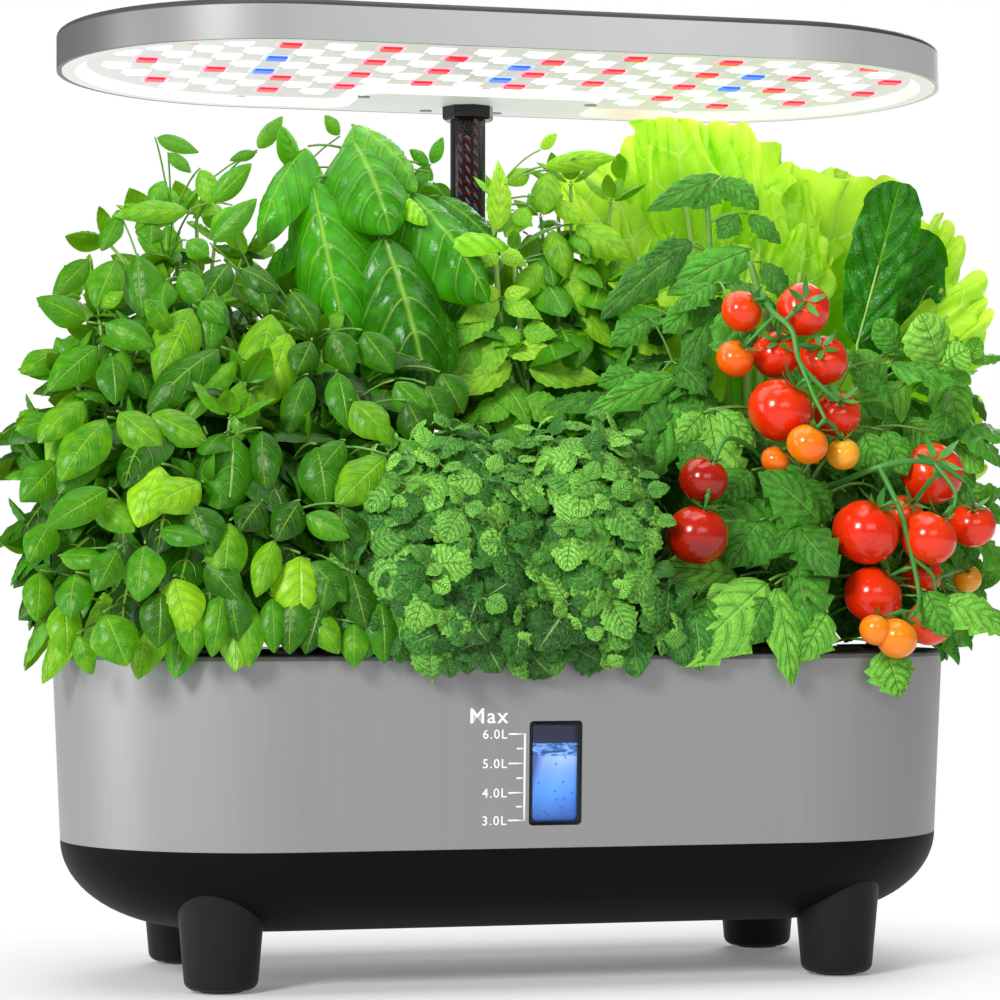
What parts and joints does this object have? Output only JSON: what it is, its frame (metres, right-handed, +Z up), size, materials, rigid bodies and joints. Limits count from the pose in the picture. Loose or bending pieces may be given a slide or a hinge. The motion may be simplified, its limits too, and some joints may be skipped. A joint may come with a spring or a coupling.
{
  "type": "countertop hydroponic garden",
  "caption": "Countertop hydroponic planter: round-ended water tank on legs, lift-off planted deck with grow baskets and pump, and an LED grow lamp on a telescopic pole.",
  "frame": {"origin": "on the ground, midway between the legs", "axes": "+X along the long tank to the right as seen from the front, +Y to the back where the pole stands, +Z up"},
  "size_m": [0.4977, 0.2354, 0.4517],
  "materials": {
    "black_shell": "satin",
    "silver_grey": "satin",
    "pale_grey": "satin",
    "clear_lens": "gloss",
    "black_rubber": "matte",
    "steel": "satin",
    "basket_black": "satin",
    "sponge": "matte",
    "pole_grey": "satin",
    "smoked_tube": "gloss",
    "wire": "satin",
    "board_white": "satin",
    "led_white": "gloss",
    "led_red": "gloss",
    "led_blue": "gloss",
    "button_grey": "matte",
    "circuit": "satin",
    "socket_black": "satin",
    "pump_black": "satin",
    "rotor_white": "satin",
    "basil_leaf": "satin",
    "balm_leaf": "satin",
    "tomato_leaf": "satin",
    "lettuce_leaf": "satin",
    "chard_leaf": "satin"
  },
  "bodies": {
    "tank": {"water_tank": "black_shell", "tank_sleeve": "silver_grey", "window_lens": "clear_lens", "window_gasket": "black_rubber", "leg_front_left": "black_shell", "leg_front_right": "black_shell", "leg_rear_left": "black_shell", "leg_rear_right": "black_shell", "leg_screws": "steel", "foot_pads": "black_rubber"},
    "deck": {"deck": "black_shell", "fill_cap_pin": "steel", "basket_front_1": "basket_black", "basket_front_2": "basket_black", "basket_front_3": "basket_black", "basket_front_4": "basket_black", "basket_middle_1": "basket_black", "basket_middle_2": "basket_black", "basket_middle_3": "basket_black", "basket_middle_4": "basket_black", "basket_rear_1": "basket_black", "basket_rear_2": "basket_black", "basket_rear_3": "basket_black", "basket_rear_4": "basket_black", "grow_sponges": "sponge", "pole_lower": "pole_grey", "pump_housing": "pump_black", "pump_cover": "pump_black", "pump_shaft": "steel", "pump_lead": "black_rubber", "basil_front": "basil_leaf", "basil_end": "basil_leaf", "basil_middle": "basil_leaf", "basil_rear": "basil_leaf", "large_basil": "basil_leaf", "lemon_balm_left": "balm_leaf", "lemon_balm_right": "balm_leaf", "mint": "balm_leaf", "tomato_front": "tomato_leaf", "tomato_middle": "tomato_leaf", "lettuce": "lettuce_leaf", "chard_end": "chard_leaf"},
    "flap": {"fill_cap": "black_shell"},
    "lamp": {"pole_upper": "smoked_tube", "pole_collar": "black_shell", "lamp_wires": "wire", "lamp_housing": "silver_grey", "lamp_bezel": "pale_grey", "lamp_screws": "steel", "led_board": "board_white", "white_leds": "led_white", "red_leds": "led_red", "blue_leds": "led_blue", "control_board": "circuit", "dc_socket": "socket_black"},
    "power_button": {"power_button": "button_grey"},
    "mode_button": {"mode_button": "button_grey"},
    "impeller": {"pump_impeller": "rotor_white"}
  },
  "joints": [
    {"name": "deck_lift", "type": "slide", "parent": "tank", "child": "deck", "axis": [0, 0, 1], "range_m": [0, 0.12]},
    {"name": "flap_hinge", "type": "hinge", "parent": "deck", "child": "flap", "pos_m": [0, 0.025, 0.1589], "axis": [-1, 0, 0], "range_deg": [0, 100]},
    {"name": "pole_slide", "type": "slide", "parent": "deck", "child": "lamp", "axis": [0, 0, 1], "range_m": [-0.005, 0.09]},
    {"name": "power_press", "type": "slide", "parent": "lamp", "child": "power_button", "axis": [0, 0, -1], "range_m": [0, 0.0008], "stiffness_N_per_m": 500, "springref_m": -0.001},
    {"name": "mode_press", "type": "slide", "parent": "lamp", "child": "mode_button", "axis": [0, 0, -1], "range_m": [0, 0.0008], "stiffness_N_per_m": 500, "springref_m": -0.001},
    {"name": "impeller_spin", "type": "hinge", "parent": "deck", "child": "impeller", "pos_m": [0, 0.031, 0.056], "axis": [0, 1, 0], "continuous": true}
  ]
}
